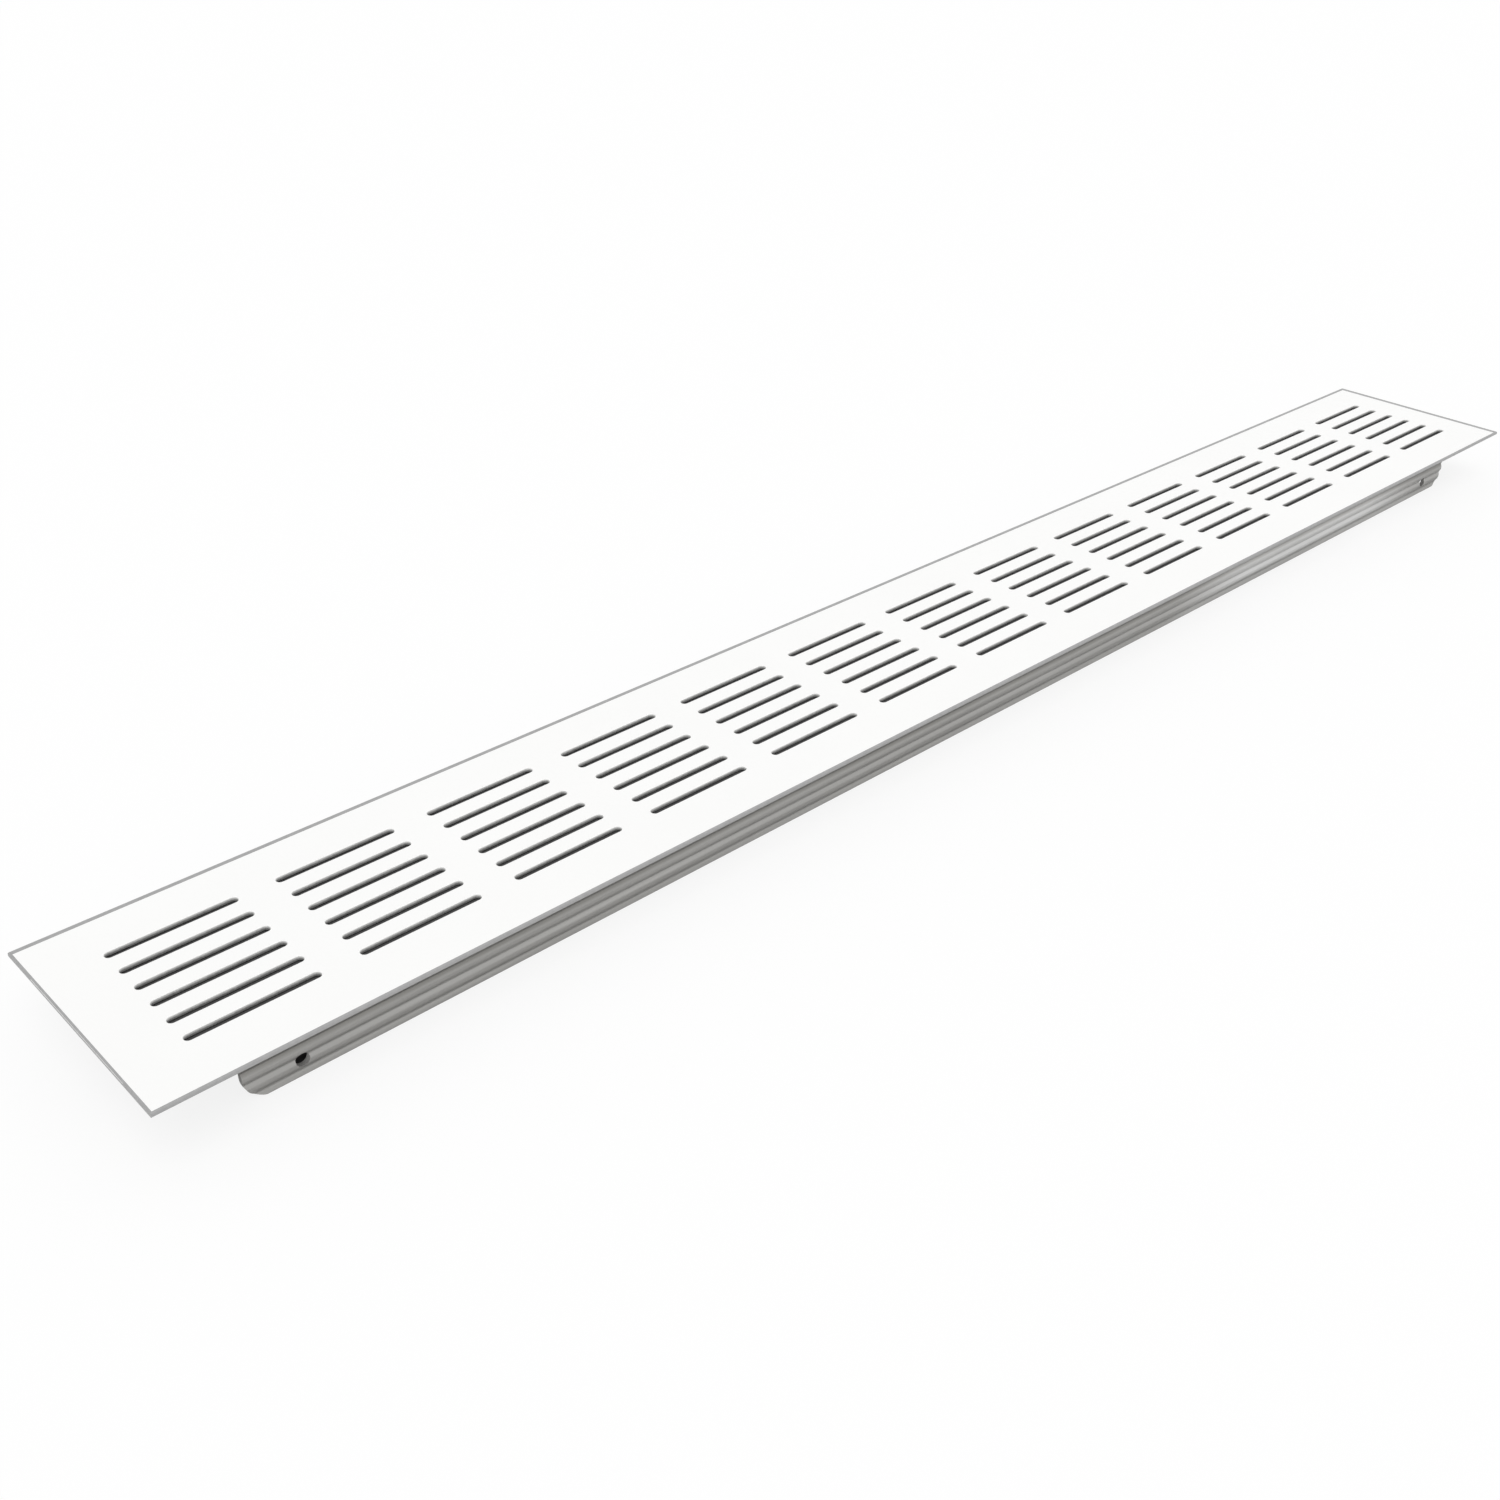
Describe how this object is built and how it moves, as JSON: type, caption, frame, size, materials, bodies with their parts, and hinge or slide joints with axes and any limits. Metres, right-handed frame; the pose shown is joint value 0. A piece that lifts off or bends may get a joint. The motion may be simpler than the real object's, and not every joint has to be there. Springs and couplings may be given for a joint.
{
  "type": "linear bar grille",
  "caption": "Flat flanged ventilation grille: a long white face plate with groups of parallel slots between bars, and grooved flanges below that drop into a panel cut-out.",
  "frame": {"origin": "centre of the plane that the two flanges stand on, midway along the grille", "axes": "+X along the bars, +Y across them, +Z out of the visible face"},
  "size_m": [0.5, 0.06, 0.0165],
  "materials": {
    "white_coated_aluminium": "satin white powder coat on the face plate, mill-finish aluminium on the flanges and in the punched slots"
  },
  "bodies": {
    "root": {"grille_profile": "white_coated_aluminium"}
  },
  "joints": []
}
